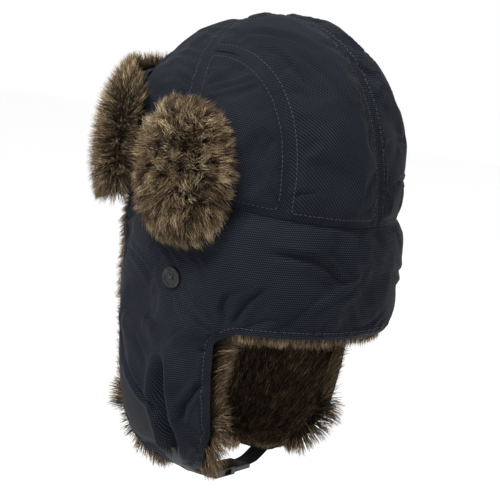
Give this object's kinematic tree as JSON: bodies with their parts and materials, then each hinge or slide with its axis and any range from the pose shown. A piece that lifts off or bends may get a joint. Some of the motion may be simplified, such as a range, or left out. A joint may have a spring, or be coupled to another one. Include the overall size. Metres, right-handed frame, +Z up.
{
  "type": "trapper hat",
  "caption": "Padded trapper hat with a turned-up fur visor, fur side tabs, a fur-lined band and ear flaps, and a buckled chin strap.",
  "frame": {"origin": "centre of the head opening, level with the seam between crown and band, where a head holds the hat", "axes": "+Z up, the front of the hat faces -Y, the wearer's left is +X"},
  "size_m": [0.249, 0.241, 0.3516],
  "materials": {
    "shell_fabric": "navy checked dobby nylon, soft sheen",
    "fur": "long-pile faux fur, dark at the root and pale at the tip",
    "lining": "smooth dark lining",
    "wadding": "matt polyester wadding",
    "elastic": "ribbed elastic",
    "hook_and_loop": "matt hook-and-loop tape",
    "webbing": "black woven webbing",
    "buckle": "black moulded plastic",
    "button": "glossy black",
    "thread": "dark sewing thread"
  },
  "bodies": {
    "hat": {"crown_front_panel": "shell_fabric", "crown_side_panel_left": "shell_fabric", "crown_side_panel_right": "shell_fabric", "crown_back_panel_left": "shell_fabric", "crown_back_panel_right": "shell_fabric", "crown_padding": "wadding", "crown_lining": "lining", "sweatband": "lining", "band_shell": "shell_fabric", "band_fur_lining": "fur", "neck_elastic": "elastic", "brow_edge": "shell_fabric", "flap_button_left": "button", "flap_button_right": "button", "button_thread_left": "thread", "button_thread_right": "thread", "visor_loop_patch": "hook_and_loop"},
    "visor": {"visor_shell": "shell_fabric", "visor_fur": "fur", "visor_hook_patch": "hook_and_loop"},
    "side_tab_left": {"side_tab_shell_left": "shell_fabric", "side_tab_fur_left": "fur"},
    "side_tab_right": {"side_tab_shell_right": "shell_fabric", "side_tab_fur_right": "fur"},
    "ear_flap_left": {"ear_flap_shell_left": "shell_fabric", "ear_flap_fur_left": "fur", "chin_strap_left": "webbing", "buckle_socket": "buckle"},
    "ear_flap_right": {"ear_flap_shell_right": "shell_fabric", "ear_flap_fur_right": "fur", "chin_strap_right": "webbing"},
    "buckle_plug": {"buckle_plug": "buckle"}
  },
  "joints": [
    {"name": "visor_fold", "type": "hinge", "parent": "hat", "child": "visor", "pos_m": [0, -0.1085, -0.0105], "axis": [1, 0, 0], "range_deg": [0, 75]},
    {"name": "side_tab_left_fold", "type": "hinge", "parent": "hat", "child": "side_tab_left", "pos_m": [0.0955, 0, -0.0313], "axis": [0, 1, 0], "range_deg": [0, 75]},
    {"name": "side_tab_right_fold", "type": "hinge", "parent": "hat", "child": "side_tab_right", "pos_m": [-0.0955, 0, -0.0313], "axis": [0, -1, 0], "range_deg": [0, 75]},
    {"name": "ear_flap_left_fold", "type": "hinge", "parent": "hat", "child": "ear_flap_left", "pos_m": [0.0951, -0.015, -0.09], "axis": [0, -1, 0], "range_deg": [0, 75]},
    {"name": "ear_flap_right_fold", "type": "hinge", "parent": "hat", "child": "ear_flap_right", "pos_m": [-0.0951, -0.015, -0.09], "axis": [0, 1, 0], "range_deg": [0, 75]},
    {"name": "buckle_release", "type": "slide", "parent": "ear_flap_right", "child": "buckle_plug", "axis": [-1, 0, 0], "range_m": [0, 0.013], "deforming": ["chin_strap_right"]}
  ]
}
